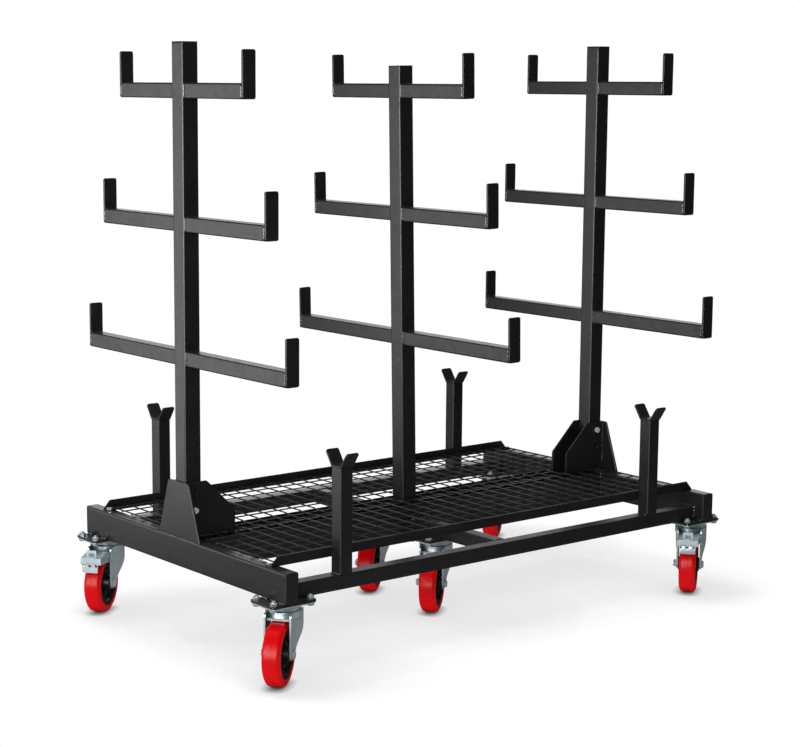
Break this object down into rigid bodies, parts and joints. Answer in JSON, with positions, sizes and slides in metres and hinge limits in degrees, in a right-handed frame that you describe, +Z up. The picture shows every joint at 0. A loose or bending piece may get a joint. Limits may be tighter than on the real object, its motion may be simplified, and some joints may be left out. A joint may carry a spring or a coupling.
{
  "type": "pipe cart",
  "caption": "Wheeled steel rack for pipes: mesh deck on swivel casters, folding end masts and a lift-out middle mast with cantilever arms, V-topped posts.",
  "frame": {"origin": "floor level, at the middle of the overall box with all casters trailing towards the front left corner; the middle of the chassis stands at x = 0.024, y = 0.024", "axes": "+X along the cart, +Y across it towards the back, +Z up"},
  "size_m": [1.6864, 1.0076, 1.593],
  "materials": {
    "black_coat": "satin black powder coat",
    "black_cap": "satin black end cap",
    "zinc_plate": "bright zinc plate",
    "red_polyurethane": "smooth red polyurethane",
    "black_nylon": "moulded black nylon"
  },
  "bodies": {
    "chassis": {"end_beam_left": "black_coat", "end_beam_right": "black_coat", "beam_end_caps": "black_cap", "rail_front": "black_coat", "rail_back": "black_coat", "cross_member": "black_coat", "spine_channel": "black_coat", "bracket_left": "black_coat", "bracket_right": "black_coat", "pivot_bolts": "zinc_plate", "centre_spigot": "black_coat", "tray_front_lip": "black_coat", "tray_back_lip": "black_coat", "tray_front_mesh": "black_coat", "tray_back_mesh": "black_coat", "deck_middle_wires": "black_coat", "tray_bolts": "zinc_plate", "stub_posts": "black_coat", "v_fork_plates": "black_coat", "caster_mount_plates": "black_coat", "caster_top_plates": "zinc_plate", "caster_plate_bolts": "zinc_plate", "caster_races": "zinc_plate"},
    "mast_left": {"mast_left_tube": "black_coat", "mast_left_cap": "black_cap", "mast_left_arms": "black_coat", "mast_left_fingers": "black_coat"},
    "mast_right": {"mast_right_tube": "black_coat", "mast_right_cap": "black_cap", "mast_right_arms": "black_coat", "mast_right_fingers": "black_coat"},
    "mast_centre": {"mast_centre_tube": "black_coat", "mast_centre_arms": "black_coat", "mast_centre_fingers": "black_coat"},
    "swivel_front_left": {"caster_front_left_fork": "zinc_plate", "caster_front_left_axle": "zinc_plate"},
    "wheel_front_left": {"caster_front_left_hub": "black_nylon", "caster_front_left_tyre": "red_polyurethane"},
    "swivel_front_right": {"caster_front_right_fork": "zinc_plate", "caster_front_right_axle": "zinc_plate"},
    "wheel_front_right": {"caster_front_right_hub": "black_nylon", "caster_front_right_tyre": "red_polyurethane"},
    "pedal_front_right": {"caster_front_right_pedal": "zinc_plate"},
    "swivel_back_left": {"caster_back_left_fork": "zinc_plate", "caster_back_left_axle": "zinc_plate"},
    "wheel_back_left": {"caster_back_left_hub": "black_nylon", "caster_back_left_tyre": "red_polyurethane"},
    "pedal_back_left": {"caster_back_left_pedal": "zinc_plate"},
    "swivel_back_right": {"caster_back_right_fork": "zinc_plate", "caster_back_right_axle": "zinc_plate"},
    "wheel_back_right": {"caster_back_right_hub": "black_nylon", "caster_back_right_tyre": "red_polyurethane"},
    "swivel_mid_front": {"caster_mid_front_fork": "zinc_plate", "caster_mid_front_axle": "zinc_plate"},
    "wheel_mid_front": {"caster_mid_front_hub": "black_nylon", "caster_mid_front_tyre": "red_polyurethane"},
    "swivel_mid_back": {"caster_mid_back_fork": "zinc_plate", "caster_mid_back_axle": "zinc_plate"},
    "wheel_mid_back": {"caster_mid_back_hub": "black_nylon", "caster_mid_back_tyre": "red_polyurethane"}
  },
  "joints": [
    {"name": "left_mast_fold", "type": "hinge", "parent": "chassis", "child": "mast_left", "pos_m": [-0.726, 0.024, 0.365], "axis": [0, 1, 0], "range_deg": [0, 32]},
    {"name": "right_mast_fold", "type": "hinge", "parent": "chassis", "child": "mast_right", "pos_m": [0.774, 0.024, 0.416], "axis": [0, -1, 0], "range_deg": [0, 32]},
    {"name": "centre_mast_lift", "type": "slide", "parent": "chassis", "child": "mast_centre", "axis": [-0.0227, 0, 0.9997], "range_m": [0, 0.15]},
    {"name": "front_left_swivel", "type": "hinge", "parent": "chassis", "child": "swivel_front_left", "pos_m": [-0.726, -0.403, 0.19], "axis": [0, 0, 1], "continuous": true},
    {"name": "front_left_wheel_spin", "type": "hinge", "parent": "swivel_front_left", "child": "wheel_front_left", "pos_m": [-0.76146, -0.43071, 0.082], "axis": [0.6157, -0.788, 0], "continuous": true},
    {"name": "front_right_swivel", "type": "hinge", "parent": "chassis", "child": "swivel_front_right", "pos_m": [0.774, -0.403, 0.19], "axis": [0, 0, 1], "continuous": true},
    {"name": "front_right_wheel_spin", "type": "hinge", "parent": "swivel_front_right", "child": "wheel_front_right", "pos_m": [0.73854, -0.43071, 0.082], "axis": [0.6157, -0.788, 0], "continuous": true},
    {"name": "front_right_brake_pedal", "type": "hinge", "parent": "swivel_front_right", "child": "pedal_front_right", "pos_m": [0.7346, -0.43378, 0.152], "axis": [0.6157, -0.788, 0], "range_deg": [0, 9]},
    {"name": "back_left_swivel", "type": "hinge", "parent": "chassis", "child": "swivel_back_left", "pos_m": [-0.726, 0.451, 0.19], "axis": [0, 0, 1], "continuous": true},
    {"name": "back_left_wheel_spin", "type": "hinge", "parent": "swivel_back_left", "child": "wheel_back_left", "pos_m": [-0.76146, 0.42329, 0.082], "axis": [0.6157, -0.788, 0], "continuous": true},
    {"name": "back_left_brake_pedal", "type": "hinge", "parent": "swivel_back_left", "child": "pedal_back_left", "pos_m": [-0.7654, 0.42022, 0.152], "axis": [0.6157, -0.788, 0], "range_deg": [0, 9]},
    {"name": "back_right_swivel", "type": "hinge", "parent": "chassis", "child": "swivel_back_right", "pos_m": [0.774, 0.451, 0.19], "axis": [0, 0, 1], "continuous": true},
    {"name": "back_right_wheel_spin", "type": "hinge", "parent": "swivel_back_right", "child": "wheel_back_right", "pos_m": [0.73854, 0.42329, 0.082], "axis": [0.6157, -0.788, 0], "continuous": true},
    {"name": "mid_front_swivel", "type": "hinge", "parent": "chassis", "child": "swivel_mid_front", "pos_m": [0.024, -0.115, 0.19], "axis": [0, 0, 1], "continuous": true},
    {"name": "mid_front_wheel_spin", "type": "hinge", "parent": "swivel_mid_front", "child": "wheel_mid_front", "pos_m": [-0.01146, -0.1427, 0.082], "axis": [0.6157, -0.788, 0], "continuous": true},
    {"name": "mid_back_swivel", "type": "hinge", "parent": "chassis", "child": "swivel_mid_back", "pos_m": [0.024, 0.163, 0.19], "axis": [0, 0, 1], "continuous": true},
    {"name": "mid_back_wheel_spin", "type": "hinge", "parent": "swivel_mid_back", "child": "wheel_mid_back", "pos_m": [-0.01146, 0.13529, 0.082], "axis": [0.6157, -0.788, 0], "continuous": true}
  ]
}
